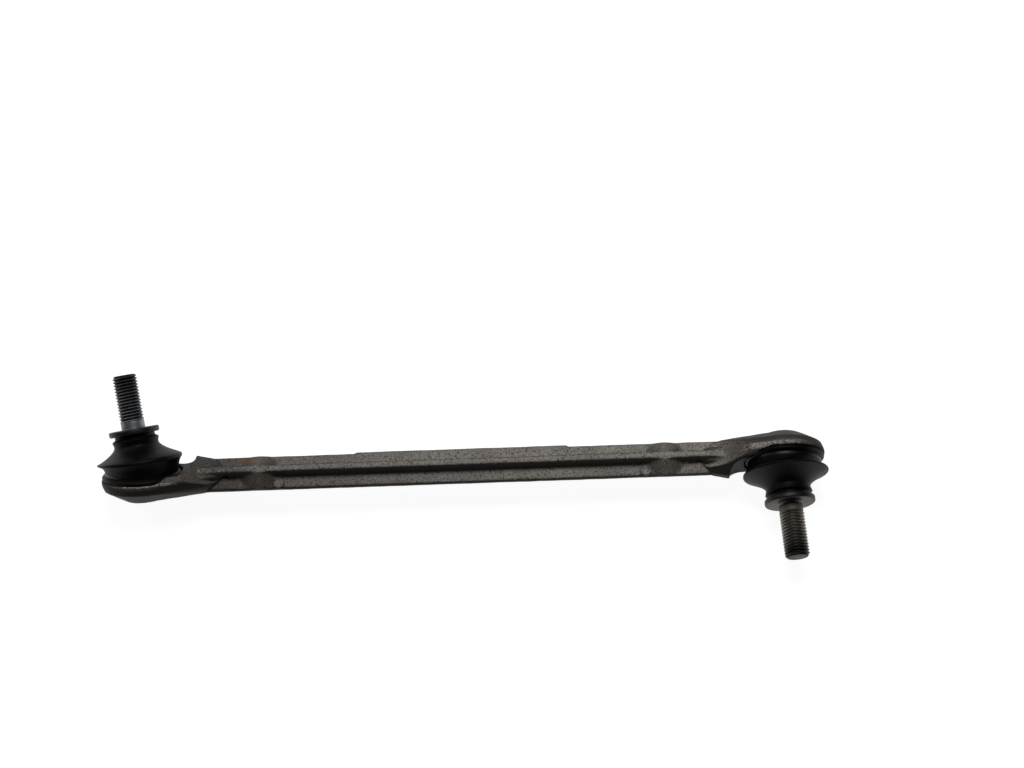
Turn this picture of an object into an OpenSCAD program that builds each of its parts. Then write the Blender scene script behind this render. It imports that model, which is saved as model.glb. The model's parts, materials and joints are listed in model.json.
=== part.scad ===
// Stabilizer link: a forged rod with a ball joint at each end, the two studs pointing opposite ways.
// The frame's origin is the centre of the right flange's seat. X runs along the rod, left to right,
// -Y is the side that the right stud is on, and Z is up when the link lies on a bench.

/* [Link] */
// Distance between the two ball centres
span = 310; // [240:1:380]
// Turn of the left ball joint about the rod, against the right one
twist = 32; // [0:1:45]
// Tilt of the left stud in its ball joint, away from the rod
left_swing = 8; // [0:1:12]
// Lean of the left stud in its ball joint, down towards the bench
left_lean = 10; // [0:1:12]
// Tilt of the right stud in its ball joint, away from the rod
right_swing = 3.5; // [0:0.5:12]

/* [Rod] */
// Height of the rod's web, along the studs
web_h = 16.5; // [14.5:0.1:18]
// Thickness of the web at its outer edges
edge_t = 3.6; // [2.6:0.1:4.6]
// Thickness of the web at the root of the rib
root_t = 4.8; // [4.4:0.1:6]
// Depth of the rod from crest to crest of its two ribs
rib_d = 16.8; // [14.5:0.1:18]
// Width of the flat on a rib's crest, where the flash was trimmed
crest_w = 2.7; // [1.6:0.1:3.4]
// Width of a rib at its foot, above the fillet
rib_foot_w = 4.4; // [3.6:0.1:5]
// Radius of the fillet between a rib and the web
rib_fillet = 2.4; // [1.6:0.1:2.8]
// Distance from a ball centre to the round boss on the rod
boss_from_ball = 57.3; // [50:0.1:66]
// Diameter of the boss's dome
boss_d = 20; // [19:0.1:24]
// Length of the raised pad on the upper edge
pad_len = 102; // [60:1:150]
// Height of the raised pad on the web's edge and on its face
pad_t = 0.5; // [0.3:0.05:0.8]
// Diameter of the round ejector mark beside each boss
mark_d = 5.4; // [4:0.1:6]

/* [Head] */
// Diameter of the head's rim
head_d = 39.2; // [38.8:0.1:44]
// Height of the rim band, at the parting line
rim_t = 1.8; // [1:0.1:3]
// Distance from the ball centre up to the ledge that the boot stands on
ledge_rise = 0.3; // [0:0.1:1]
// Distance from the ball centre down to the cone that ends in the closed face
cone_drop = 4.6; // [3.8:0.1:5.4]
// Distance from the ball centre down to the closed face
face_drop = 10.6; // [10.4:0.1:12]
// Diameter of the flat closed face
face_d = 16.6; // [16.2:0.1:20]
// Diameter of the collar inside the boot
collar_d = 29; // [27.5:0.1:30]
// Distance from the ball centre up to the top of the collar
collar_rise = 6; // [5.5:0.1:6.5]
// Distance from the ball centre to the tip of the nose beside the boot
nose_from_ball = 26.5; // [25.5:0.1:29]
// How far the nose stands above the rod's centre line
nose_h = 9.8; // [8.6:0.1:10.8]

/* [Ball joint] */
// Diameter of the ball
ball_d = 16; // [15:0.1:16.4]
// Running gap between the ball and its shell
ball_gap = 0.05; // [0.02:0.01:0.1]
// Thickness of the bearing shell's wall round the ball
shell_t = 1.7; // [1.2:0.1:2]
// Diameter of the closing plug
plug_d = 13; // [10:0.1:14]
// How far the plug stands out of the closed face
plug_proud = 0.3; // [0.1:0.1:0.8]
// Width of the recess round the plug
recess_w = 1.4; // [0.8:0.1:1.8]
// Gap between pieces that are seated in each other
seat_gap = 0.05; // [0.02:0.01:0.1]

/* [Stud] */
// Distance from the ball centre to the flange's seat
seat_rise = 24.2; // [23:0.1:27]
// Diameter of the flange
flange_d = 24.2; // [22:0.1:28]
// Thickness of the flange
flange_t = 2.8; // [2:0.1:4]
// Diameter of the neck next to the ball
neck_d = 9; // [8:0.1:10]
// Diameter of the boot's seat below the flange
boot_seat_d = 16; // [14:0.1:17]
// Diameter of the threaded shank
thread_d = 12; // [10:1:14]
// Length of the shank beyond the flange
shank_len = 26.3; // [20:0.1:40]

/* [Boot] */
// Diameter of the boot's rounded base
band_d = 38.4; // [37.4:0.1:38.8]
// Diameter of the boot's wide flare
flare_d = 41; // [39:0.1:42]
// Height of the flare's rim above the ball centre
flare_rise = 9; // [8:0.1:9.6]
// Thickness of the flare's rim
flare_t = 1.7; // [1.2:0.1:2.2]
// Diameter of the boot's waist below the flange
waist_d = 21.4; // [20.4:0.1:22]
// Diameter of the boot's lip below the flange
lip_d = 22.6; // [22.2:0.1:24]
// Thickness of the rubber
boot_t = 2.1; // [1.6:0.1:2.4]
// Width of the spring ring round the boot's base
ring_w = 1.2; // [0.8:0.1:1.4]
// Depth of the spring ring round the boot's base
ring_t = 1; // [0.7:0.1:1.3]

/* [Hidden] */
$fn = 64;

// Each end is 1 on the left, where the stud points to +Y, and -1 on the right
LEFT = 1;
RIGHT = -1;
function twist_of(side) = side == LEFT ? twist : 0;
function swing_of(side) = side == LEFT ? left_swing : right_swing;
function lean_of(side) = side == LEFT ? left_lean : 0;

// Rod
web_half = web_h/2;
rib_half = rib_d/2;
edge_round = 0.6;
slice = 0.1;
rib_end = nose_from_ball + 14.5;
web_end = nose_from_ball + 3.8;
slope_end = nose_from_ball + 8;
// The flare's rounded start: its place and its half sizes
swell_x = nose_from_ball + 0.5;
swell = [11, web_half + 0.4, 11.2];
nose_w = 5;
flare_inset = 0.3;
rod_len = span - 2*web_end;
boss_x = span/2 - boss_from_ball;
mark_from_boss = 9.2;
mark_y = web_half - 2.5;
mark_z = root_t/2 + 0.05;

// Head, measured along the joint's axis from the ball centre
ledge = ledge_rise;
face = -face_drop;
head_r = head_d/2;
cone_r = head_r - 1.1;
collar_r = collar_d/2;
groove_depth = 1.1;
groove_low = ledge + 1.6;
groove_high = ledge + 4.6;
groove_slope = 0.6;
collar_chamfer = 0.5;
// The clearance that is cut into the rod round the boot
scoop_gap = 0.1;
scoop_r = band_d/2 + scoop_gap;
scoop_floor = nose_h - 6.2;
scoop_fillet = 5;
scoop_step = nose_from_ball - scoop_r - scoop_fillet;
scoop_top = 40;

// Ball joint
ball_r = ball_d/2;
socket_r = ball_r + ball_gap;
shell_r = socket_r + shell_t;
shell_top = collar_rise - 2.4;
shell_shoulder = -ball_r/2;
shell_floor = -socket_r - 0.85;
shell_floor_r = shell_r*0.67;
mouth_r = ball_r + 0.5;
plug_r = plug_d/2;
plug_chamfer = 0.4;
recess_depth = 0.7;

// Stud, measured along its own axis from the ball centre
neck_r = neck_d/2;
weld = sqrt(ball_r*ball_r - neck_r*neck_r);
flange_low = seat_rise - flange_t;
boot_seat_r = boot_seat_d/2;
boot_seat_low = flange_low - 5.7;
neck_top = boot_seat_low - 2.8;
flange_r = flange_d/2;
flange_chamfer = 0.6;
thread_r = thread_d/2;
tip = seat_rise + shank_len;
tip_chamfer = 1.2;

// Boot, a closed outline of [radius, height] that is turned about the axis and bent with the stud
boot_gap = 0.15;
boot_sides = 36;
band_r = band_d/2;
flare_r = flare_d/2;
waist_r = waist_d/2;
lip_r = lip_d/2;
ring_low = ledge + 2.9;
ring_high = ring_low + ring_w;
notch_r = band_r - 1.6;
waist_h = flange_low - 5;
sweep_r = flare_r - flare_t/4;
sweep_low = flare_rise + 0.4*flare_t;
sweep_steps = 6;
sweep_curve = 1.6;
flare_steps = 4;
lip_h = flange_low - 2.5;
lip_t = 2.6;
sleeve_r = waist_r - 0.8;
bore_r = boot_seat_r + boot_gap;
bead_r = collar_r + boot_gap;
insert_low = lip_h - lip_t/2 + 0.2;
insert_high = lip_h + lip_t/2 - 0.2;
insert_r = lip_r - 1.4;
bend_low = ring_high + 0.4;
bend_high = flare_rise + 2;

// The bell between the flare and the waist opens like a trumpet, and its inside is one wall smaller
function sweep_point(t, wall) =
    [waist_r - wall + (sweep_r - waist_r)*pow(t, sweep_curve), waist_h - wall/4 - (waist_h - sweep_low + wall)*t];
outer_sweep = [for (i = [sweep_steps:-1:0]) sweep_point(i/sweep_steps, 0)];
inner_sweep = [for (i = [0:sweep_steps]) sweep_point(i/sweep_steps, boot_t)];
flare_rim = [
    for (i = [0:flare_steps - 1])
    let (turn = -50 + 110*i/flare_steps)
    [flare_r - flare_t/2 + flare_t/2*cos(turn), flare_rise + flare_t/2*sin(turn)]
];

boot_outer = concat(
    [
        [band_r - 0.9, ledge + seat_gap], [band_r - 0.2, ledge + 0.5], [band_r, ledge + 1.2],
        [band_r - 0.4, ledge + 2], [notch_r, ring_low - seat_gap],
        [notch_r - ring_t - seat_gap, ring_low - seat_gap],
        [notch_r - ring_t - seat_gap, ring_high + seat_gap], [notch_r, ring_high + seat_gap]
    ],
    flare_rim,
    outer_sweep,
    [
        [waist_r + 0.1, lip_h - lip_t/2 + 0.2], [lip_r - 0.2, lip_h - 0.4], [lip_r, lip_h],
        [sleeve_r, lip_h + lip_t/2], [sleeve_r, flange_low - boot_gap]
    ]
);
boot_inner = concat(
    [
        [bore_r, flange_low - boot_gap], [bore_r, insert_high], [insert_r, insert_high],
        [insert_r, insert_low], [bore_r, insert_low]
    ],
    inner_sweep,
    [
        [bead_r + 0.8, collar_rise + boot_gap], [bead_r, collar_rise - collar_chamfer],
        [bead_r, groove_high - boot_gap], [bead_r - groove_depth + boot_gap/2, groove_high - groove_slope - boot_gap],
        [bead_r - groove_depth + boot_gap/2, groove_low + groove_slope + boot_gap], [bead_r, groove_low + boot_gap],
        [bead_r, ledge + seat_gap]
    ]
);
boot_outline = concat(boot_outer, boot_inner);

function smooth_step(x) = let (t = max(0, min(1, x))) t*t*(3 - 2*t);
function bend_at(h) = smooth_step((h - bend_low)/(bend_high - bend_low));
// A point of the outline at an angle round the axis, leaned over by its share of the stud's tilt
function boot_point(p, turn, swing, lean) =
    let (
        across = -lean*bend_at(p[1]),
        along = -swing*bend_at(p[1]),
        x = p[0]*cos(turn),
        y = p[0]*sin(turn)*cos(across) - p[1]*sin(across),
        h = p[0]*sin(turn)*sin(across) + p[1]*cos(across)
    )
    [x*cos(along) + h*sin(along), y, h*cos(along) - x*sin(along)];

// Moves a shape that is centred between the balls into the part's frame
module in_frame()
    translate([-span/2 - seat_rise*sin(right_swing), seat_rise*cos(right_swing), 0])
    children();

// Puts a shape at one end of the rod: its X runs inboard and its Y to the side that the stud is on
module at_rod_end(side)
    rotate([0, 0, side == LEFT ? 0 : 180])
    translate([-span/2, 0, 0])
    children();

// Turns a shape's Z into the axis of the ball joint
module on_joint_axis(side)
    rotate([twist_of(side) - 90, 0, 0])
    children();

// Puts a shape in one head, with its Z along the joint's axis
module in_head(side)
    in_frame()
    at_rod_end(side)
    on_joint_axis(side)
    children();

// Puts a shape on one stud's axis
module on_stud(side)
    in_head(side)
    rotate([0, -swing_of(side), 0])
    rotate([-lean_of(side), 0, 0])
    children();

// One quarter of the rod's section: crest, drafted flank, fillet, web and rounded edge
module rod_quarter()
    polygon(concat(
        [[0, 0], [0, rib_half], [crest_w/2, rib_half]],
        [
            for (turn = [180:18:270])
            [rib_foot_w/2 + rib_fillet*(1 + cos(turn)), root_t/2 + rib_fillet*(1 + sin(turn))]
        ],
        [[web_half - edge_round, edge_t/2 + 0.15], [web_half, edge_t/2 - edge_round], [web_half, 0]]
    ));

module rod_section()
    for (flip_y = [0, 1], flip_z = [0, 1])
        mirror([flip_y, 0])
        mirror([0, flip_z])
        rod_quarter();

// The section runs along X, with its first axis on Y and its second on Z
module rod()
    rotate([90, 0, 90])
    linear_extrude(height = rod_len, center = true)
    rod_section();

// A domed boss on the upper side, level with the rib's crest and as wide as the web
module boss()
    intersection() {
        translate([0, 0, rib_half - 0.1 - boss_d/2])
            sphere(d = boss_d);
        translate([-boss_d, -web_half + 0.1, 0])
            cube([2*boss_d, web_h - 0.2, rib_d]);
    }

// The pad on the upper side: it thickens the web from the rib to the edge
module pad()
    rotate([90, 0, 90])
    linear_extrude(height = pad_len, center = true)
    polygon([
        [0, 0], [rib_foot_w/2 + rib_fillet, root_t/2 + pad_t], [web_half, edge_t/2 + pad_t],
        [web_half + pad_t, edge_t/2], [web_half + pad_t, 0.6 - edge_t/2], [web_half - 1, 0.6 - edge_t/2]
    ]);

module ejector_mark()
    cylinder(h = mark_z, d = mark_d);

// The rim, the drafted side and the cone down to the closed face, made smaller all round by an inset
module head_blank(inset)
    rotate_extrude()
    polygon([
        [0, face + inset], [face_d/2 - inset, face + inset], [cone_r - inset, -cone_drop],
        [head_r - inset, ledge - rim_t],
        [head_r - inset, ledge - inset], [0, ledge - inset]
    ]);

// The flare between the rod and the head, with the nose that stands beside the boot
module end_blank(side)
    at_rod_end(side)
    hull() {
        translate([rib_end, 0, 0])
            cube([slice, crest_w, rib_d], center = true);
        translate([web_end, -web_half, -edge_t/2])
            cube([slice, web_half, edge_t]);
        translate([slope_end, 0, -edge_t/2])
            cube([slice, web_half, edge_t]);
        translate([swell_x, 0, 0])
            rotate([twist_of(side)/2, 0, 0])
            scale(swell)
            sphere(r = 1, $fn = 28);
        translate([nose_from_ball, 0, -nose_w/2])
            cube([slice, nose_h, nose_w]);
        on_joint_axis(side)
            head_blank(flare_inset, $fn = 48);
    }

module forged_blank() {
    rod();
    pad();
    for (side = [LEFT, RIGHT]) {
        end_blank(side);
        at_rod_end(side)
            on_joint_axis(side)
            head_blank(0);
        translate([side*boss_x, 0, 0])
            boss();
        translate([side*(boss_x - mark_from_boss), -mark_y, 0])
            ejector_mark();
    }
}

// What is cut away round the boot: a straight wall, a step and a hollow fillet up to the nose
module boot_scoop()
    rotate_extrude()
    polygon(concat(
        [[0, ledge], [scoop_r, ledge], [scoop_r, scoop_floor]],
        [
            for (turn = [-90:15:0])
            [scoop_r + scoop_step + scoop_fillet*cos(turn), scoop_floor + scoop_fillet*(1 + sin(turn))]
        ],
        [[nose_from_ball, scoop_top], [0, scoop_top]]
    ));

// The collar that the boot's bead grips
module collar()
    rotate_extrude()
    polygon([
        [0, ledge - rim_t], [collar_r, ledge - rim_t], [collar_r, groove_low],
        [collar_r - groove_depth, groove_low + groove_slope],
        [collar_r - groove_depth, groove_high - groove_slope], [collar_r, groove_high],
        [collar_r, collar_rise - collar_chamfer], [collar_r - collar_chamfer, collar_rise], [0, collar_rise]
    ]);

// The outside of the bearing shell, grown by a gap where it is the cavity
module shell_form(gap)
    rotate_extrude()
    polygon([
        [0, shell_floor - gap], [shell_floor_r + gap, shell_floor - gap], [shell_r + gap, shell_shoulder],
        [shell_r + gap, shell_top + gap], [0, shell_top + gap]
    ]);

// The cavity, its mouth, the plug's hole and the recess round the plug
module joint_cavity() {
    shell_form(seat_gap);
    cylinder(h = collar_rise + 1, r = mouth_r);
    translate([0, 0, face - 1])
        cylinder(h = 1 - face, r = plug_r + seat_gap);
    translate([0, 0, face - 1])
        cylinder(h = 1 + recess_depth, r = plug_r + recess_w);
}

module link_body()
    color([0.36, 0.34, 0.32])
    in_frame()
    difference() {
        union() {
            difference() {
                forged_blank();
                for (side = [LEFT, RIGHT])
                    at_rod_end(side)
                    on_joint_axis(side)
                    boot_scoop();
            }
            for (side = [LEFT, RIGHT])
                at_rod_end(side)
                on_joint_axis(side)
                collar();
        }
        for (side = [LEFT, RIGHT])
            at_rod_end(side)
            on_joint_axis(side)
            joint_cavity();
    }

module bearing_shell(side)
    color([0.85, 0.83, 0.76])
    in_head(side)
    difference() {
        shell_form(0);
        sphere(r = socket_r);
    }

module closing_plug(side)
    color([0.5, 0.46, 0.4])
    in_head(side)
    rotate_extrude()
    polygon([
        [0, face - plug_proud], [plug_r - plug_chamfer, face - plug_proud],
        [plug_r, face - plug_proud + plug_chamfer], [plug_r, shell_floor - 2*seat_gap],
        [0, shell_floor - 2*seat_gap]
    ]);

// A flat spring ring in the notch between the boot's base and its flare
module boot_base_ring(side)
    color([0.12, 0.12, 0.13])
    in_head(side)
    rotate_extrude()
    translate([notch_r - ring_t + seat_gap, ring_low])
    square([ring_t, ring_w]);

// The steel insert inside the boot's lip
module boot_neck_ring(side)
    color([0.45, 0.46, 0.48])
    on_stud(side)
    rotate_extrude()
    translate([bore_r + seat_gap, insert_low + seat_gap])
    square([insert_r - bore_r - 4*seat_gap, insert_high - insert_low - 2*seat_gap]);

module boot(side) {
    count = len(boot_outline);
    points = [
        for (i = [0:boot_sides - 1], p = boot_outline)
        boot_point(p, 360*i/boot_sides, swing_of(side), lean_of(side))
    ];
    faces = [
        for (i = [0:boot_sides - 1], k = [0:count - 1])
        let (
            here = i*count,
            next = ((i + 1) % boot_sides)*count,
            up = (k + 1) % count
        )
        each [[here + k, here + up, next + up], [here + k, next + up, next + k]]
    ];
    color([0.07, 0.07, 0.07])
        in_head(side)
        polyhedron(points = points, faces = faces, convexity = 6);
}

// The ball, flattened where the pin is welded on
module ball(side)
    color([0.75, 0.75, 0.77])
    on_stud(side)
    intersection() {
        sphere(r = ball_r);
        translate([0, 0, weld - ball_d])
            cylinder(h = ball_d, r = ball_d);
    }

// The pin: neck, boot seat, flange and threaded shank in one turned piece
module ball_stud(side)
    color([0.33, 0.35, 0.38])
    on_stud(side)
    rotate_extrude()
    polygon([
        [0, weld], [neck_r, weld], [neck_r, neck_top], [boot_seat_r, boot_seat_low],
        [boot_seat_r, flange_low], [flange_r - flange_chamfer, flange_low],
        [flange_r, flange_low + flange_chamfer], [flange_r, seat_rise - flange_chamfer],
        [flange_r - flange_chamfer, seat_rise], [thread_r, seat_rise], [thread_r, tip - tip_chamfer],
        [thread_r - tip_chamfer, tip], [0, tip]
    ]);

link_body();
bearing_shell(LEFT);  // left_bearing_shell
closing_plug(LEFT);  // left_closing_plug
boot_base_ring(LEFT);  // left_boot_base_ring
boot(LEFT);  // left_boot
boot_neck_ring(LEFT);  // left_boot_neck_ring
ball(LEFT);  // left_ball
ball_stud(LEFT);  // left_ball_stud
bearing_shell(RIGHT);  // right_bearing_shell
closing_plug(RIGHT);  // right_closing_plug
boot_base_ring(RIGHT);  // right_boot_base_ring
boot(RIGHT);  // right_boot
boot_neck_ring(RIGHT);  // right_boot_neck_ring
ball(RIGHT);  // right_ball
ball_stud(RIGHT);  // right_ball_stud
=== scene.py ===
import json
import math

import bmesh
import bpy
import numpy as np
from mathutils import Matrix, Vector, noise


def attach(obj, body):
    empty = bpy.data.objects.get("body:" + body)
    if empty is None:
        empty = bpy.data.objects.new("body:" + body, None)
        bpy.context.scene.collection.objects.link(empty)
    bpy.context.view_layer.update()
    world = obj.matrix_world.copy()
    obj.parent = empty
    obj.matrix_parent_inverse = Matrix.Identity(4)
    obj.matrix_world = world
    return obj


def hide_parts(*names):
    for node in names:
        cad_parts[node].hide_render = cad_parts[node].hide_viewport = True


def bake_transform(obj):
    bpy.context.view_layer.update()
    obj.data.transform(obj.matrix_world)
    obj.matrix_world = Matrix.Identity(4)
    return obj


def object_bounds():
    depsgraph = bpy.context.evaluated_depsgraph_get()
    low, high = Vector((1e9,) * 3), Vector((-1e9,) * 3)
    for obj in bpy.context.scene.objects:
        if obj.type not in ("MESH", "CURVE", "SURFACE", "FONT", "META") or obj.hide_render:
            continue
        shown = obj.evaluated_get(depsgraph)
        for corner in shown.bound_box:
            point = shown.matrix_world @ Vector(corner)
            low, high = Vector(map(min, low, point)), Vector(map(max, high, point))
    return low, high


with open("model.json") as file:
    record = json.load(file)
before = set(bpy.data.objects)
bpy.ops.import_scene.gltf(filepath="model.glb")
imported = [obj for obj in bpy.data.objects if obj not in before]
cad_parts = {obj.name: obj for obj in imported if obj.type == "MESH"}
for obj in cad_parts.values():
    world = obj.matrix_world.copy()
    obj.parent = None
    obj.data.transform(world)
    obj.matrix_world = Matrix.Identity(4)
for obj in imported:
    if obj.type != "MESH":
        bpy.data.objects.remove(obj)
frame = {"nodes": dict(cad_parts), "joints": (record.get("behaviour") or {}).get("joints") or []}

cad_low, cad_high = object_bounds()

# Sizes are in millimetres; MERGE is how close two points lie to become one
MM = 0.001
MERGE = 0.002 * MM

# Stud: radii, and heights along the pin from the ball centre
NECK_R = 4.5
NECK_LOW = 6.6
NECK_TOP = 12.9
BOOT_SEAT_R = 8.0
BOOT_SEAT_LOW = 15.7
SEAT_RISE = 24.2
FLANGE_T = 2.8
FLANGE_R = 12.1
FLANGE_ROUND = 0.75
FLANGE_LOW = SEAT_RISE - FLANGE_T
SHANK_FILLET = 0.5
TIP = 50.5
TIP_DOME = 0.12
TIP_RING_RISE = 0.1
TIP_RING_SHARE = 0.8
STUD_SIDES = 96

# Thread, M12 x 1.5, and the plain shank, which is lower than the crests by a share of the thread's depth
PITCH = 1.5
CREST_R = 5.95
ROOT_R = 5.1
SHANK_SHARE = 0.3
SHANK_R = CREST_R - SHANK_SHARE * (CREST_R - ROOT_R)
CREST_FLAT = 0.06
FLANK_SLOPE = 2.8
RUN_OUT = 3.4
TIP_CHAMFER = 1.0
STEPS_PER_PITCH = 12
STEPS_AROUND = 64

# Boot: radii, and heights along the housing's axis from the ball centre
LEDGE = 0.3
BAND_R = 19.2
BEAD_R = 14.65
NOTCH_R = 17.6
RING_T = 1.0
RING_LOW = 3.2
RING_HIGH = 4.4
RING_ROOM = 0.05
FLARE_R = 20.5
FLARE_RISE = 9.0
SEAM_OUT = (FLARE_R, FLARE_RISE)
SEAM_IN = (FLARE_R - 2.7, FLARE_RISE - 0.25)
BELL_FOOT_R = FLARE_R - 0.4
BELL_FOOT_H = FLARE_RISE + 0.6
BELL_CURVE = 1.6
BELL_STEPS = 22
WALL = 2.1
THIN_WALL = 0.9
WALL_STEPS = 10
WAIST_R = 10.7
WAIST_H = 16.4
LIP_R = 11.3
LIP_H = 18.9
SLEEVE_R = 9.65
SLEEVE_TOP = FLANGE_LOW - 0.1
BORE_R = 8.15
INSERT_R = 9.9
INSERT_HALF = 1.1
BEND_LOW = 4.8
BEND_HIGH = 11.0
BASE_LEAN_SHARE = 0.35
BOOT_SIDES = 128

# Forging: the rod's rib and web, its heads, and the necks that ramp down to the web
HEAD_TWIST = {"left": 32.0, "right": 0.0}
HEAD_R = 19.6
NOSE_FROM_BALL = 26.5
RIB_HALF = 8.4
RIB_CREST_HALF = 1.2
RIB_EDGE = 0.9
WEB_HALF = 2.4
RAMP_START = 18.0
RAMP_END = 40.1
RAMP_SLOPE = 0.526
RAMP_CUT = 2.5
RAMP_HALF = 11.0
RAMP_FADE = 4.0
VOXEL = 0.58

# Bosses and ejector marks on the rod's upper side
BOSS_FROM_BALL = 57.3
BOSS_R = 10.0
BOSS_TOP = RIB_HALF - 0.1
BOSS_CREST_R = 2.0
BOSS_SLOPE = 0.92
BOSS_STRETCH = 0.82
MARK_FROM_BALL = BOSS_FROM_BALL + 9.2
MARK_BESIDE = -5.75
MARK_R = 2.7
MARK_RISE = 0.3
MARK_LINE = 0.8

# Where the forging is bright with flash, dark, painted lighter to the right where light falls brighter,
# painted with shade on slants and in the hollows, or stained
FLASH_EDGE = 0.8
RIM_LOW = {"left": 0.0, "right": -1.6}
RIM_INSIDE = 1.3
RIM_TAIL = 12.0
RIM_TAIL_FADE = 10.0
RIB_FLASH_HALF = 2.3
RIB_FLASH_HIGH = 1.1
END_DARKENING_TO = {"left": 56.0, "right": 34.0}
END_DARKENING_FADE = 12.0
HOLLOW_FROM = 12.0
HOLLOW_TO = 32.0
PAINTED_LIGHT_FROM = 40.0
PAINTED_LIGHT_TO = 190.0
STAIN_FROM_BALL = 51.0
STAIN_UP = 5.7
STAIN_LONG = 5.0
STAIN_WIDE = 2.6

# Unevenness of the forged skin: depths in millimetres, and waves in a metre
DENT = 0.10
DENT_WAVES = 160
FINE_DENT = 0.04
FINE_DENT_WAVES = 520
RAGGED = 0.2
RAGGED_WAVES = (480, 900, 900)

# Camera, as fitted to points of the link
CAMERA_FROM_RIGHT_BALL = (-106.5, -303.25, 930.1)
CAMERA_TURN = (0.35441, 0.03418, -0.02487)
SENSOR = 36.0
LENS = 71.242


def smooth_step(x):
    """0 below 0, 1 above 1 and a smooth rise between."""
    t = min(max(x, 0.0), 1.0)
    return t * t * (3 - 2 * t)


def fade_in(value, start, width):
    """0 up to start, and 1 from a width beyond it."""
    return smooth_step((value - start) / width)


def fade_out(value, end, width):
    """1 up to a width before end, and 0 beyond end."""
    return smooth_step((end - value) / width)


def joint(name):
    return next(j for j in frame["joints"] if j["name"] == name)


class JointEnd:
    """Where one ball joint sits: its centre, the housing's axes and the stud's axis at rest, in metres."""

    def __init__(self, side):
        self.side = side
        lean = joint(side + "_lean_joint")
        self.centre = Vector(lean["pos_m"])
        self.inboard = Vector(lean["axis"]).normalized()
        twist = math.radians(HEAD_TWIST[side])
        self.across = Vector((0, math.sin(twist), -math.cos(twist)))
        self.axis = self.inboard.cross(self.across).normalized()
        self.stud = Vector(joint(side + "_spin_joint")["axis"]).normalized()
        self.swing = math.atan2(-self.stud.dot(self.inboard), self.stud.dot(self.axis))
        self.lean = math.asin(self.stud.dot(self.across))

    def placed(self, x, y, h, share):
        """A point in millimetres of the housing's frame, leaned over by a share of the stud's tilt."""
        lean, swing = self.lean * share, self.swing * share
        v = y * math.cos(lean) + h * math.sin(lean)
        h = h * math.cos(lean) - y * math.sin(lean)
        u = x * math.cos(swing) - h * math.sin(swing)
        w = h * math.cos(swing) + x * math.sin(swing)
        return self.centre + (u * self.inboard + v * self.across + w * self.axis) * MM

    def away(self, p):
        """How far a point lies from the ball centre towards the other end, in millimetres."""
        return (p - self.centre).dot(self.inboard) / MM

    def beside(self, p):
        """How far a point lies from the rod's upright middle plane, in millimetres."""
        return (p.y - self.centre.y) / MM

    def height_and_radius(self, p):
        """A point's height along the housing's axis and its distance from that axis, in millimetres."""
        d = (p - self.centre) / MM
        h = d.dot(self.axis)
        return h, (d - h * self.axis).length


ENDS = {side: JointEnd(side) for side in ("left", "right")}


def new_piece(name, mesh, material, body, node):
    """Shows a mesh as a piece that stands for a node; one with no body is left unattached."""
    piece = bpy.data.objects.new(name, mesh)
    bpy.context.scene.collection.objects.link(piece)
    mesh.materials.clear()
    mesh.materials.append(material)
    if body:
        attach(piece, body)
    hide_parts(node)
    return piece


def shade_smooth(mesh, sharp_deg=None):
    """Smooth shading, with hard edges left where faces meet at more than an angle."""
    mesh.polygons.foreach_set("use_smooth", np.ones(len(mesh.polygons), bool))
    if sharp_deg is not None:
        mesh.set_sharp_from_angle(angle=math.radians(sharp_deg))
    mesh.update()


def merge_points(mesh, outwards=False):
    """Joins points that lie together and, where asked, turns the faces outwards."""
    joined = bmesh.new()
    joined.from_mesh(mesh)
    bmesh.ops.remove_doubles(joined, verts=joined.verts, dist=MERGE)
    if outwards:
        bmesh.ops.recalc_face_normals(joined, faces=joined.faces)
    joined.to_mesh(mesh)
    joined.free()


def add_attributes(mesh, **shares):
    """Keeps values on a mesh's points, for its material to read."""
    for name, values in shares.items():
        layer = mesh.attributes.new(name, "FLOAT", "POINT")
        layer.data.foreach_set("value", np.ascontiguousarray(values, np.float32))


class Field:
    """One value in a node tree, with arithmetic on it."""

    def __init__(self, tree, socket):
        self.tree = tree
        self.socket = socket

    def make(self, kind, inputs=(), output=0, **settings):
        """Another node in the same tree, set first and then fed by values or links."""
        node = self.tree.nodes.new(kind)
        for key, value in settings.items():
            setattr(node, key, value)
        for key, value in dict(inputs).items():
            socket = node.inputs[key]
            if isinstance(value, Field):
                self.tree.links.new(value.socket, socket)
            else:
                socket.default_value = value
        return Field(self.tree, node.outputs[output])

    def maths(self, operation, other=0.0):
        return self.make("ShaderNodeMath", {0: self, 1: other}, operation=operation)

    def __add__(self, other):
        return self.maths("ADD", other)

    def __sub__(self, other):
        return self.maths("SUBTRACT", other)

    def __rsub__(self, other):
        return self.make("ShaderNodeMath", {0: other, 1: self}, operation="SUBTRACT")

    def __mul__(self, other):
        return self.maths("MULTIPLY", other)

    def __truediv__(self, other):
        return self.maths("DIVIDE", other)

    __radd__ = __add__
    __rmul__ = __mul__

    def between(self, low, high):
        """This value, held between two others."""
        return self.maths("MAXIMUM", low).maths("MINIMUM", high)

    def ramp(self, low, high):
        """0 below low, 1 above high and a smooth step between."""
        inputs = {0: self, 1: low, 2: high, 3: 0.0, 4: 1.0}
        return self.make("ShaderNodeMapRange", inputs, interpolation_type="SMOOTHSTEP")

    def tint(self, dark, light):
        """A colour between two, by this value."""
        inputs = {0: self, 6: dark, 7: light}
        return self.make("ShaderNodeMix", inputs, output=2, data_type="RGBA")


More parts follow.
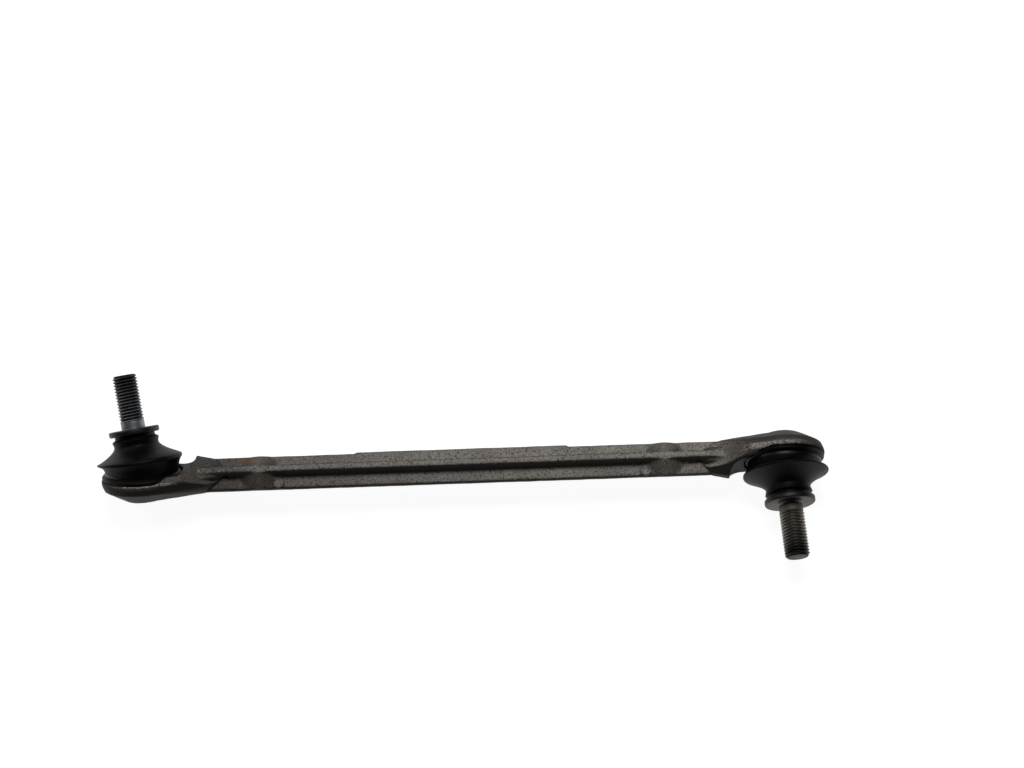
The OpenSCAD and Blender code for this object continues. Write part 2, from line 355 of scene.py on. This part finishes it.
class Paint:
    """A material that starts from its object's own coordinates, in millimetres."""

    def __init__(self, name):
        self.material = bpy.data.materials.new(name)
        self.material.use_nodes = True
        self.tree = self.material.node_tree
        self.shader = self.tree.nodes["Principled BSDF"]
        start = Field(self.tree, self.tree.nodes.new("ShaderNodeTexCoord").outputs["Object"])
        self.place = start.make("ShaderNodeVectorMath", {0: start, "Scale": 1 / MM}, operation="SCALE")
        split = self.tree.nodes.new("ShaderNodeSeparateXYZ")
        self.tree.links.new(self.place.socket, split.inputs[0])
        self.x = Field(self.tree, split.outputs["X"])
        self.y = Field(self.tree, split.outputs["Y"])

    def noise(self, size_mm, detail=3.0, rough=0.55, stretch=(1, 1, 1)):
        """A cloudy value round 0.5 whose patches are about this many millimetres wide."""
        where = self.place
        if stretch != (1, 1, 1):
            inputs = {0: where, 1: [1 / s for s in stretch]}
            where = where.make("ShaderNodeVectorMath", inputs, operation="MULTIPLY")
        inputs = {"Vector": where, "Scale": 1 / size_mm, "Detail": detail, "Roughness": rough}
        return where.make("ShaderNodeTexNoise", inputs)

    def attribute(self, name):
        return self.x.make("ShaderNodeAttribute", output="Fac", attribute_name=name)

    def set(self, **values):
        """Sets or links the shader's sockets, whose names are given in small letters."""
        for key, value in values.items():
            socket = self.shader.inputs[key.replace("_", " ").title().replace("Ior", "IOR")]
            if isinstance(value, Field):
                self.tree.links.new(value.socket, socket)
            else:
                socket.default_value = value

    def bump(self, height, depth_mm, strength):
        inputs = {"Height": height, "Distance": depth_mm * MM, "Strength": strength}
        self.set(normal=height.make("ShaderNodeBump", inputs))


def colour(r, g, b):
    """An sRGB colour from 0 to 255 as Blender's linear one."""
    parts = [c / 255 for c in (r, g, b)]
    return [p / 12.92 if p <= 0.04045 else ((p + 0.055) / 1.055) ** 2.4 for p in parts] + [1.0]


def forged_aluminium():
    """Dull grained skin with painted shade on slanting faces and painted shadow in the hollows by the noses,
    dark on the heads, painted lighter to the right, with bright flash and one brown stain.
    """
    paint = Paint("forged_aluminium")
    cloud = paint.noise(16, 3)
    grain = paint.noise(0.8, 4, 0.7)
    flash = paint.attribute("flash")
    left = ENDS["left"].centre / MM
    # Painted light: the skin is painted lighter towards the right end, where the light falls brighter
    painted_light_ramp = paint.x.ramp(left.x + PAINTED_LIGHT_FROM, left.x + PAINTED_LIGHT_TO)
    skin = painted_light_ramp.tint(colour(152, 145, 139), colour(192, 185, 177))
    skin = (cloud.ramp(0.7, 0.3) * 0.5).tint(skin, colour(150, 143, 136))
    for share, strength, tone in (
        # Darker towards each head, fading along the rod
        ("handled", 0.75, colour(106, 99, 94)),
        ("head", 0.75, colour(74, 69, 65)),
        # Painted shade: slanting faces are painted dark as if turned from the light
        ("draft", 1.0, colour(58, 53, 50)),
        ("mark", 0.4, colour(176, 158, 154)),
        ("outline", 0.6, colour(64, 56, 54)),
    ):
        skin = (paint.attribute(share) * strength).tint(skin, tone)
    skin = grain.ramp(0.3, 0.58).tint(colour(70, 65, 61), skin)
    along = (paint.x - left.x - STAIN_FROM_BALL) / STAIN_LONG
    across = (paint.y - left.y - STAIN_UP) / STAIN_WIDE
    stain = (1.0 - along * along - across * across).ramp(0.0, 0.9) * paint.noise(2, 3).ramp(0.3, 0.6)
    skin = (stain * 0.8).tint(skin, colour(128, 94, 60))
    # Painted shadow: the hollow between each nose and its boot is painted near black
    skin = (paint.attribute("hollow") * 0.92).tint(skin, colour(16, 15, 14))
    torn = (paint.noise(0.7, 4, 0.75, (1.6, 1, 1)) * flash).ramp(0.42, 0.62)
    paint.set(
        base_color=torn.tint(skin, colour(216, 210, 203)),
        metallic=0.06,
        roughness=0.56 + 0.08 * (cloud - 0.5) - 0.06 * torn,
        specular_ior_level=0.12,
    )
    paint.bump(grain * (0.6 + flash) + 0.4 * paint.noise(3.2, 3), 0.2, 0.6)
    return paint.material


def boot_rubber():
    """Black rubber, faintly blotched."""
    paint = Paint("boot_rubber")
    cloud = paint.noise(7, 4)
    fine = paint.noise(0.7, 3, 0.6)
    paint.set(
        base_color=cloud.ramp(0.35, 0.7).tint(colour(7, 7, 7), colour(16, 15, 15)),
        roughness=0.5 + 0.16 * (cloud - 0.5) + 0.1 * (fine - 0.5),
        specular_ior_level=0.14,
    )
    paint.bump(fine + 0.8 * cloud, 0.12, 0.5)
    return paint.material


def stud_steel():
    """Dark coated steel, bare at the shank's root, with painted shade between the threads; the right one is
    browner.
    """
    paint = Paint("stud_steel")
    cloud = paint.noise(5, 4)
    fine = paint.noise(0.5, 3, 0.65)
    reach = paint.attribute("reach")
    middle = (ENDS["left"].centre.x + ENDS["right"].centre.x) / 2 / MM
    right = paint.x.ramp(middle - 1, middle + 1)
    coat = right.tint(colour(132, 137, 142), colour(150, 143, 134))
    bare = right.tint(colour(160, 163, 164), colour(138, 129, 117))
    root = reach.ramp(0.01, 0.05) * (1.0 - reach.ramp(0.1, 0.24))
    tone = root.tint(coat, bare)
    tone = (reach.ramp(0.35, 0.95) * 0.75).tint(tone, colour(62, 61, 60))
    tone = cloud.ramp(0.2, 0.55).tint(colour(86, 84, 81), tone)
    flange = right.tint(colour(60, 59, 57), colour(42, 40, 38))
    tone = (paint.attribute("flange") * 0.84).tint(tone, flange)
    tone = (paint.attribute("rim") * 0.6).tint(tone, colour(40, 39, 38))
    tone = reach.ramp(0.94, 0.985).tint(tone, colour(34, 33, 32))
    tone = (right * reach.ramp(0.72, 0.97) * 0.85).tint(tone, colour(24, 23, 22))
    # Painted shade: the thread's roots are painted dark, less on the right stud
    groove_shade = paint.attribute("groove").ramp(0.2, 0.8) * (0.9 - 0.3 * right)
    tone = groove_shade.tint(tone, colour(20, 20, 20))
    paint.set(
        base_color=fine.ramp(0.2, 0.46).tint(colour(40, 39, 38), tone),
        metallic=0.88,
        roughness=0.46 + 0.24 * (cloud - 0.4) + 0.25 * root * right,
    )
    paint.bump(fine, 0.06, 0.6)
    return paint.material


def plug_metal():
    """Brownish pressed metal."""
    paint = Paint("plug_metal")
    cloud = paint.noise(4, 4)
    fine = paint.noise(0.6, 3)
    paint.set(
        base_color=cloud.ramp(0.3, 0.7).tint(colour(112, 100, 86), colour(150, 138, 120)),
        metallic=0.7,
        roughness=0.42 + 0.2 * (fine - 0.5),
    )
    paint.bump(fine, 0.08, 0.6)
    return paint.material


def ring_steel():
    """Blackened spring steel."""
    paint = Paint("ring_steel")
    cloud = paint.noise(3, 3)
    paint.set(
        base_color=cloud.tint(colour(16, 16, 17), colour(34, 34, 36)),
        metallic=0.6,
        roughness=0.42 + 0.2 * (cloud - 0.5),
    )
    return paint.material


def bearing_plastic():
    """Cream bearing plastic."""
    paint = Paint("bearing_plastic")
    cloud = paint.noise(4, 3)
    paint.set(
        base_color=cloud.tint(colour(214, 208, 190), colour(232, 228, 214)),
        roughness=0.4 + 0.1 * cloud,
    )
    return paint.material


def ball_steel():
    """Bright polished steel."""
    paint = Paint("ball_steel")
    cloud = paint.noise(3, 3)
    paint.set(
        base_color=cloud.tint(colour(176, 178, 182), colour(204, 205, 208)),
        metallic=1.0,
        roughness=0.12 + 0.1 * cloud,
    )
    return paint.material


def insert_steel():
    """Plain grey steel."""
    paint = Paint("insert_steel")
    cloud = paint.noise(3, 3)
    paint.set(
        base_color=cloud.tint(colour(118, 120, 124), colour(150, 151, 154)),
        metallic=1.0,
        roughness=0.3 + 0.2 * cloud,
    )
    return paint.material


FORGED = forged_aluminium()
RUBBER = boot_rubber()
STEEL = stud_steel()
NODE_PAINT = {
    "closing_plug": plug_metal(),
    "boot_base_ring": ring_steel(),
    "bearing_shell": bearing_plastic(),
    "ball": ball_steel(),
    "boot_neck_ring": insert_steel(),
}


def flash_share(p):
    """How much trimmed flash shows at a point of the forging: the ribs' crests and the heads' rims."""
    share = 0.0
    for end in ENDS.values():
        h, r = end.height_and_radius(p)
        rim = fade_in(r, HEAD_R - RIM_INSIDE, FLASH_EDGE) * fade_out(r, HEAD_R + RIM_TAIL, RIM_TAIL_FADE)
        rim *= fade_in(h, RIM_LOW[end.side] - 0.9, FLASH_EDGE) * fade_out(h, LEDGE + 1.4, FLASH_EDGE)
        share = max(share, rim * fade_in(end.away(p), -22, 20))
    above = abs(abs(p.z) / MM - RIB_HALF)
    crest = fade_out(above, RIB_FLASH_HIGH, 0.7)
    crest *= fade_out(abs(ENDS["right"].beside(p)), RIB_FLASH_HALF, FLASH_EDGE)
    return max(share, 0.85 * crest)


def handled_share(p):
    """How dark the skin is at a point of the forging: most on the heads, fading along the rod."""
    return max(fade_out(end.away(p), END_DARKENING_TO[end.side], END_DARKENING_FADE) for end in ENDS.values())


def ejector_mark(p):
    """How much a point lies on a round ejector mark on the web, and on the mark's dark outline."""
    disc, outline = 0.0, 0.0
    if p.z > 0:
        for end in ENDS.values():
            r = math.hypot(end.away(p) - MARK_FROM_BALL, end.beside(p) - MARK_BESIDE)
            disc = max(disc, fade_out(r, MARK_R + 0.2, 0.5))
            outline = max(outline, fade_out(abs(r - MARK_R), MARK_LINE, MARK_LINE))
    return disc, outline


def near_boss(end, p):
    return p.z > 0 and abs(end.away(p) - BOSS_FROM_BALL) < BOSS_R + 1


def draft_share(p, normal):
    """Painted shade: how much a face slants, which is painted dark as if turned from the light; on the bosses
    the ends of the skirt are painted darkest.
    """
    slant = (0.97 - abs(normal.z)) / 0.4
    for end in ENDS.values():
        if near_boss(end, p):
            slant = 0.5 * slant + 0.7 * abs(normal.x)
    return smooth_step(slant)


def shaded_share(p, normal):
    """How dark the skin is on the closed side of a head, and the painted shadow in the hollow between a nose
    and its boot.
    """
    head, hollow = 0.0, 0.0
    for end in ENDS.values():
        h, r = end.height_and_radius(p)
        closed = fade_out(h, RIM_LOW["right"] - 0.2, 1.2)
        head = max(head, closed * fade_out(r, HEAD_R + 6, 6))
        # Painted shadow on faces in the hollow that turn towards the ball or along the housing's axis
        if HOLLOW_FROM < end.away(p) < HOLLOW_TO:
            facing = max(-normal.dot(end.inboard), normal.dot(end.axis))
            shade = fade_in(facing, 0.1, 0.3) * fade_out(abs(normal.dot(end.across)), 0.65, 0.25)
            shade *= fade_out(r, NOSE_FROM_BALL + 0.7, 0.8) * fade_in(h, LEDGE + 0.2, 0.8)
            hollow = max(hollow, shade)
    return head, hollow


def trimmed_height(p):
    """The forging's half height at a point; beside the rib's crest the necks ramp down to the web."""
    height = abs(p.z) / MM
    lowest = height
    for end in ENDS.values():
        away = end.away(p)
        if not RAMP_START < away < RAMP_END + 2:
            continue
        beside = abs(end.beside(p))
        ramp = WEB_HALF + RAMP_SLOPE * (RAMP_END - away)
        crest = max(RIB_HALF, ramp)
        flank = max(ramp, height - RAMP_CUT, WEB_HALF)
        limit = crest + (flank - crest) * fade_in(beside, RIB_CREST_HALF, RIB_EDGE)
        if height > limit:
            lowest = height + (limit - height) * fade_out(beside, RAMP_HALF, RAMP_FADE)
    return lowest


def boss_height(p, normal):
    """The forging's height at a point of a boss, whose dome is drawn out to an evenly sloping skirt."""
    height = p.z / MM
    for end in ENDS.values():
        if not near_boss(end, p):
            continue
        along = end.away(p) - BOSS_FROM_BALL
        beside = end.beside(p)
        dome = BOSS_TOP - BOSS_R + math.sqrt(max(BOSS_R ** 2 - along ** 2 - beside ** 2, 0))
        spread = math.hypot(along * BOSS_STRETCH, beside)
        skirt = BOSS_TOP - BOSS_SLOPE * max(spread - BOSS_CREST_R, 0)
        if skirt < dome and height < dome + 0.3:
            return height * skirt / dome
        if dome < skirt and WEB_HALF - 0.6 < height < skirt and normal.z > 0.5:
            return skirt
    return height


def forging_blank():
    """The CAD forging as one even mesh with softened edges."""
    mesh = frame["nodes"]["link_body"].data.copy()
    merge_points(mesh)
    blank = bpy.data.objects.new("forging_blank", mesh)
    bpy.context.scene.collection.objects.link(blank)
    even = blank.modifiers.new("even", "REMESH")
    even.mode = "VOXEL"
    even.voxel_size = VOXEL * MM
    soft = blank.modifiers.new("soft", "SMOOTH")
    soft.factor = 0.5
    soft.iterations = 1
    skin = bpy.data.meshes.new_from_object(blank.evaluated_get(bpy.context.evaluated_depsgraph_get()))
    bpy.data.objects.remove(blank)
    return skin


def make_link_body():
    """The forging with its necks and bosses shaped, a slightly uneven skin and ragged trimmed flash."""
    skin = forging_blank()
    for vertex in skin.vertices:
        vertex.co.z = (boss_height(vertex.co, vertex.normal) + MARK_RISE * ejector_mark(vertex.co)[0]) * MM
        vertex.co.z = math.copysign(trimmed_height(vertex.co) * MM, vertex.co.z)
    skin.update()
    places = [v.co.copy() for v in skin.vertices]
    normals = [v.normal.copy() for v in skin.vertices]
    flash = np.array([flash_share(p) for p in places], np.float32)
    shaded = np.array([shaded_share(p, normal) for p, normal in zip(places, normals)])
    marks = np.array([ejector_mark(p) for p in places])
    for vertex, p, normal, torn in zip(skin.vertices, places, normals, flash):
        dent = DENT * noise.noise(p * DENT_WAVES) + FINE_DENT * noise.noise(p * FINE_DENT_WAVES)
        ragged = torn * RAGGED * noise.noise(p * Vector(RAGGED_WAVES))
        vertex.co = p + normal * (dent + ragged) * MM
    add_attributes(
        skin,
        flash=flash,
        handled=[handled_share(p) for p in places],
        draft=[draft_share(p, normal) for p, normal in zip(places, normals)],
        head=shaded[:, 0],
        hollow=shaded[:, 1],
        mark=marks[:, 0],
        outline=marks[:, 1],
    )
    skin.name = "link_forging"
    shade_smooth(skin)
    new_piece("link_forging", skin, FORGED, "link", "link_body")


def lathe(outline, sides, place):
    """A closed outline of (radius, height) pairs turned round an axis; place puts each point in the frame."""
    rows = len(outline)
    points = []
    for i in range(sides):
        turn = 2 * math.pi * i / sides
        points += [place(r * math.cos(turn), r * math.sin(turn), h) for r, h in outline]
    faces = []
    for i in range(sides):
        j = (i + 1) % sides
        for k in range(rows):
            n = (k + 1) % rows
            faces.append((i * rows + k, i * rows + n, j * rows + n, j * rows + k))
    mesh = bpy.data.meshes.new("turned")
    mesh.from_pydata(points, [], faces)
    merge_points(mesh, outwards=True)
    return mesh


def through(points, steps):
    """A smooth curve through points, with this many steps between two of them."""
    p = [points[0]] + list(points) + [points[-1]]
    curve = []
    for a, b, c, d in zip(p, p[1:], p[2:], p[3:]):
        for i in range(steps):
            t = i / steps
            curve.append(tuple(
                0.5 * (2 * b[k] + (c[k] - a[k]) * t + (2 * a[k] - 5 * b[k] + 4 * c[k] - d[k]) * t * t
                       + (3 * b[k] - a[k] - 3 * c[k] + d[k]) * t ** 3)
                for k in (0, 1)
            ))
    return curve + [tuple(points[-1])]


def arc(r, h, radius, start, stop, steps=5):
    """Points on a round edge whose centre is (r, h), from one angle to another in degrees."""
    turns = [math.radians(start + (stop - start) * i / steps) for i in range(steps + 1)]
    return [(r + radius * math.cos(t), h + radius * math.sin(t)) for t in turns]


def bell(t, wall=0.0):
    """A point of the trumpet between the waist, at 0, and the flare, at 1, or inside it by a wall."""
    r = WAIST_R - wall + (BELL_FOOT_R - WAIST_R) * t ** BELL_CURVE
    h = WAIST_H - wall / 4 - (WAIST_H - BELL_FOOT_H + wall) * t
    return r, h


def boot_base_outline():
    """The band on the housing, the ring's notch, the underside of the flare and the bead inside."""
    ring_low, ring_high = RING_LOW - RING_ROOM, RING_HIGH + RING_ROOM
    band = through([
        (BAND_R - 0.9, LEDGE + 0.05),
        (BAND_R - 0.25, LEDGE + 0.4),
        (BAND_R, LEDGE + 1.2),
        (BAND_R - 0.4, LEDGE + 2.0),
        (NOTCH_R, ring_low),
    ], 4)
    notch = [(NOTCH_R - RING_T - RING_ROOM, ring_low), (NOTCH_R - RING_T - RING_ROOM, ring_high)]
    under = through([
        (NOTCH_R, ring_high),
        (NOTCH_R + 0.9, FLARE_RISE - 2.2),
        (FLARE_R - 0.7, FLARE_RISE - 0.9),
        (FLARE_R - 0.14, FLARE_RISE - 0.5),
        SEAM_OUT,
    ], 4)
    inside = [
        SEAM_IN,
        (BEAD_R + 1.4, LEDGE + 6.1),
        (BEAD_R + 0.1, LEDGE + 5.4),
        (BEAD_R, LEDGE + 4.8),
        (BEAD_R - 1.0, LEDGE + 4.0),
        (BEAD_R - 1.0, LEDGE + 2.4),
        (BEAD_R, LEDGE + 1.8),
        (BEAD_R, LEDGE + 0.05),
    ]
    return band + notch + under + inside


def boot_bell_outline():
    """The flare's upper rim, the trumpet, the lip and its sleeve, the insert's groove and the hollow."""
    rim = through([SEAM_OUT, (FLARE_R - 0.12, FLARE_RISE + 0.42), bell(0.985), bell(0.95)], 3)
    trumpet = [bell(0.95 - 0.95 * i / BELL_STEPS) for i in range(1, BELL_STEPS + 1)]
    lip = through([
        (WAIST_R + 0.02, WAIST_H + 0.6),
        (WAIST_R + 0.3, LIP_H - 0.9),
        (LIP_R - 0.15, LIP_H - 0.3),
        (LIP_R, LIP_H),
        (LIP_R - 0.35, LIP_H + 0.35),
        (SLEEVE_R + 0.2, LIP_H + 1.0),
        (SLEEVE_R, LIP_H + 1.5),
        (SLEEVE_R, SLEEVE_TOP),
    ], 4)
    bore = [
        (BORE_R, SLEEVE_TOP),
        (BORE_R, LIP_H + INSERT_HALF),
        (INSERT_R, LIP_H + INSERT_HALF),
        (INSERT_R, LIP_H - INSERT_HALF),
        (BORE_R, LIP_H - INSERT_HALF),
    ]
    shares = [i / WALL_STEPS for i in range(WALL_STEPS)]
    hollow = [bell(t, WALL + (THIN_WALL - WALL) * t) for t in shares]
    return rim + trumpet + lip + bore + hollow + [SEAM_IN]


def make_boot(end):
    """The rubber boot in two closed rings that meet at the flare.

    Both rings are leaned over towards the stud's tilt at rest, fully above a height.
    """
    def place(x, y, h):
        return end.placed(x, y, h, fade_in(h, BEND_LOW, BEND_HIGH - BEND_LOW))

    lean, swing = end.side + "_lean", end.side + "_swing"
    between = end.axis.lerp(end.stud, BASE_LEAN_SHARE).normalized()
    for part, outline, a, b, along, low, high in (
        ("base", boot_base_outline(), "link", lean, between, RING_HIGH + 1.4, FLARE_RISE - 2.3),
        ("bell", boot_bell_outline(), lean, swing, end.stud, BELL_FOOT_H, BOOT_SEAT_LOW - 0.3),
    ):
        mesh = lathe(outline, BOOT_SIDES, place)
        shade_smooth(mesh, sharp_deg=50)
        piece = new_piece(f"{end.side}_boot_{part}", mesh, RUBBER, None, end.side + "_boot")
        end.centre + along * low * MM
        end.centre + along * high * MM
        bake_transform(piece)


def thread_tree():
    """Wraps a flat grid into a threaded sleeve whose rows follow the helix, with a run-out and a chamfer."""
    tree = bpy.data.node_groups.new("stud_thread", "GeometryNodeTree")
    tree.interface.new_socket("Geometry", in_out="OUTPUT", socket_type="NodeSocketGeometry")
    sizes = {
        "Pitch": PITCH,
        "Crest Radius": CREST_R,
        "Root Radius": ROOT_R,
        "Start": SEAT_RISE,
        "Length": TIP - SEAT_RISE,
        "Run Out": RUN_OUT,
        "Chamfer": TIP_CHAMFER,
    }
    for name, value in sizes.items():
        socket = tree.interface.new_socket(name, in_out="INPUT", socket_type="NodeSocketFloat")
        socket.default_value = value * MM
    tree.interface.new_socket("Material", in_out="INPUT", socket_type="NodeSocketMaterial")
    given = tree.nodes.new("NodeGroupInput")
    pitch, crest, root, start, length, run_out, chamfer = (Field(tree, given.outputs[name]) for name in sizes)
    material = Field(tree, given.outputs["Material"])

    rows = math.ceil(((TIP - SEAT_RISE) / PITCH + 1) * STEPS_PER_PITCH)
    counts = {"Vertices X": STEPS_AROUND + 1, "Vertices Y": rows + 1}
    grid = pitch.make("GeometryNodeMeshGrid", {"Size X": 1.0, "Size Y": 1.0, **counts})
    flat = tree.nodes.new("ShaderNodeSeparateXYZ")
    tree.links.new(tree.nodes.new("GeometryNodeInputPosition").outputs[0], flat.inputs[0])
    around = Field(tree, flat.outputs["X"]) + 0.5
    turns = (Field(tree, flat.outputs["Y"]) + 0.5) * (rows / STEPS_PER_PITCH)
    along = ((turns - 1.0 + around) * pitch).between(0.0, length)
    flank = (turns.maths("FRACT") - 0.5).maths("ABSOLUTE") - CREST_FLAT
    tooth = (flank * FLANK_SLOPE).between(0.0, 1.0)
    depth = crest - root
    cut = ((along - run_out) / pitch).between(0.0, 1.0)
    radius = crest - tooth * depth * cut - depth * SHANK_SHARE * (1.0 - cut)
    radius = radius.maths("MINIMUM", crest - chamfer + (length - along))
    turn = around * (2 * math.pi)
    place = turn.make("ShaderNodeCombineXYZ", {
        "X": turn.maths("COSINE") * radius,
        "Y": turn.maths("SINE") * radius,
        "Z": along + start,
    })
    sleeve = grid.make("GeometryNodeSetPosition", {"Geometry": grid, "Position": place})
    sleeve = sleeve.make("GeometryNodeMergeByDistance", {"Geometry": sleeve, "Distance": MERGE})
    sleeve = sleeve.make("GeometryNodeRealizeInstances", {"Geometry": sleeve})
    sleeve = sleeve.make("GeometryNodeSetMaterial", {"Geometry": sleeve, "Material": material})
    tree.links.new(sleeve.socket, tree.nodes.new("NodeGroupOutput").inputs[0])
    return tree


def make_thread(tree):
    """The thread as a plain mesh, along Z."""
    carrier = bpy.data.objects.new("thread_carrier", bpy.data.meshes.new("thread_carrier"))
    bpy.context.scene.collection.objects.link(carrier)
    wrap = carrier.modifiers.new("thread", "NODES")
    wrap.node_group = tree
    for item in tree.interface.items_tree:
        if item.in_out == "INPUT":
            wrap[item.identifier] = STEEL if item.name == "Material" else item.default_value
    mesh = bpy.data.meshes.new_from_object(carrier.evaluated_get(bpy.context.evaluated_depsgraph_get()))
    carrier.modifiers.remove(wrap)
    bpy.data.objects.remove(carrier)
    return mesh


def stud_outline():
    """Neck, boot seat, round-edged flange and the fillet at the shank, closed inside the thread's sleeve."""
    edge, fillet = FLANGE_ROUND, SHANK_FILLET
    core_r, core_low = SHANK_R - 0.4, SEAT_RISE - 1
    return (
        [(0, NECK_LOW), (NECK_R, NECK_LOW), (NECK_R, NECK_TOP)]
        + [(BOOT_SEAT_R, BOOT_SEAT_LOW), (BOOT_SEAT_R, FLANGE_LOW)]
        + arc(FLANGE_R - edge, FLANGE_LOW + edge, edge, -90, 0)
        + arc(FLANGE_R - edge, SEAT_RISE - edge, edge, 0, 90)
        + arc(SHANK_R + fillet, SEAT_RISE + fillet, fillet, 270, 180)
        + [(core_r, SEAT_RISE + fillet), (core_r, core_low), (0, core_low)]
    )


def close_tip(pin):
    """Closes the thread's open end with a faintly domed face."""
    edge = [v for v in pin.verts if v.co.z > (TIP - 0.01) * MM]
    edge.sort(key=lambda v: math.atan2(v.co.y, v.co.x))
    middle = pin.verts.new((0, 0, (TIP + TIP_DOME) * MM))
    rise = (TIP + TIP_RING_RISE) * MM
    ring = [pin.verts.new((v.co.x * TIP_RING_SHARE, v.co.y * TIP_RING_SHARE, rise)) for v in edge]
    for i in range(len(edge)):
        j = (i + 1) % len(edge)
        pin.faces.new((edge[i], edge[j], ring[j], ring[i]))
        pin.faces.new((ring[i], ring[j], middle))


def make_stud(end, thread):
    """The turned pin with its thread and the tip's end face."""
    mesh = lathe(stud_outline(), STUD_SIDES, lambda x, y, h: Vector((x, y, h)) * MM)
    pin = bmesh.new()
    pin.from_mesh(mesh)
    pin.from_mesh(thread)
    close_tip(pin)
    bmesh.ops.recalc_face_normals(pin, faces=pin.faces)
    heights = np.array([v.co.z / MM for v in pin.verts])
    radii = np.array([math.hypot(v.co.x, v.co.y) / MM for v in pin.verts])
    side = end.stud.cross(end.across).normalized()
    turn = Matrix((side, end.stud.cross(side), end.stud)).transposed().to_4x4()
    pin.transform(Matrix.Translation(end.centre) @ turn)
    pin.to_mesh(mesh)
    pin.free()
    threaded = (heights > SEAT_RISE + RUN_OUT) & (heights < TIP - TIP_CHAMFER)
    add_attributes(
        mesh,
        reach=(heights - SEAT_RISE) / (TIP - SEAT_RISE),
        groove=np.where(threaded, (CREST_R - radii) / (CREST_R - ROOT_R), 0),
        flange=(radii > SHANK_R + 0.1) & (heights < SEAT_RISE + 0.4),
        rim=radii > FLANGE_R - 0.2,
    )
    shade_smooth(mesh, sharp_deg=40)
    new_piece(end.side + "_stud_pin", mesh, STEEL, end.side + "_stud", end.side + "_ball_stud")


def paint_cad_nodes():
    """Gives the CAD nodes that show as they are their materials."""
    for side in ENDS:
        for part, material in NODE_PAINT.items():
            mesh = frame["nodes"][f"{side}_{part}"].data
            mesh.materials.clear()
            mesh.materials.append(material)


def floor_white():
    """White to the camera and in reflections, with a faint shadow; dim to other light."""
    material = bpy.data.materials.new("floor_white")
    material.use_nodes = True
    tree = material.node_tree
    tree.nodes.clear()
    path = tree.nodes.new("ShaderNodeLightPath")
    seen = Field(tree, path.outputs["Is Camera Ray"])
    for ray in ("Is Glossy Ray", "Is Transmission Ray"):
        seen = seen.maths("MAXIMUM", Field(tree, path.outputs[ray]))
    white = seen.make("ShaderNodeEmission", {"Color": (1, 1, 1, 1), "Strength": 0.94})
    lit = seen.make("ShaderNodeBsdfDiffuse", {"Color": (0.35, 0.35, 0.35, 1)})
    shown = seen.make("ShaderNodeAddShader", {0: white, 1: lit})
    dim = seen.make("ShaderNodeBsdfDiffuse", {"Color": (0.05, 0.05, 0.05, 1)})
    mixed = seen.make("ShaderNodeMixShader", {0: seen, 1: dim, 2: shown})
    output = tree.nodes.new("ShaderNodeOutputMaterial")
    tree.links.new(mixed.socket, output.inputs["Surface"])
    return material


def make_floor():
    """A wide pale floor just under the link."""
    size, drop = 3.0, 0.4 * MM
    mesh = bpy.data.meshes.new("floor")
    z = cad_low[2] - drop
    x, y = (cad_low[0] + cad_high[0]) / 2, (cad_low[1] + cad_high[1]) / 2
    corners = [(x + i * size, y + j * size, z) for i, j in ((-1, -1), (1, -1), (1, 1), (-1, 1))]
    mesh.from_pydata(corners, [], [(0, 1, 2, 3)])
    floor = bpy.data.objects.new("floor", mesh)
    bpy.context.scene.collection.objects.link(floor)
    mesh.materials.append(floor_white())


def area_light(name, place, aim, size, watts, tint=(1, 1, 1)):
    lamp = bpy.data.lights.new(name, "AREA")
    lamp.shape = "RECTANGLE"
    lamp.size, lamp.size_y = size
    lamp.energy = watts
    lamp.color = tint
    light = bpy.data.objects.new(name, lamp)
    light.location = place
    light.rotation_euler = (Vector(aim) - Vector(place)).to_track_quat("-Z", "Y").to_euler()
    bpy.context.scene.collection.objects.link(light)


def make_light():
    """A soft lamp overhead, a weak cool one at the back on the left, and very little light from all round."""
    world = bpy.context.scene.world or bpy.data.worlds.new("studio")
    bpy.context.scene.world = world
    world.use_nodes = True
    around = world.node_tree.nodes["Background"]
    around.inputs["Color"].default_value = (1.0, 0.98, 0.95, 1)
    around.inputs["Strength"].default_value = 0.012
    middle, left_end = (-0.155, 0.02, 0.0), (-0.31, 0.05, 0.0)
    area_light("overhead", (-0.07, 0.36, 1.0), middle, (0.5, 0.35), 3.9)
    area_light("left_back", (-0.75, 0.35, 0.35), left_end, (0.3, 0.3), 0.7, (0.94, 0.97, 1.0))


def make_camera():
    """Stands where the photo was taken from."""
    lens = bpy.data.cameras.new("camera")
    lens.sensor_width = SENSOR
    lens.lens = LENS
    lens.clip_start = 0.01
    camera = bpy.data.objects.new("camera", lens)
    camera.location = ENDS["right"].centre + Vector(CAMERA_FROM_RIGHT_BALL) * MM
    camera.rotation_euler = CAMERA_TURN
    bpy.context.scene.collection.objects.link(camera)
    bpy.context.scene.camera = camera


make_link_body()
THREAD = make_thread(thread_tree())
for joint_end in ENDS.values():
    make_stud(joint_end, THREAD)
    make_boot(joint_end)
paint_cad_nodes()
make_floor()
make_light()
make_camera()
bpy.context.scene.view_settings.view_transform = "Standard"
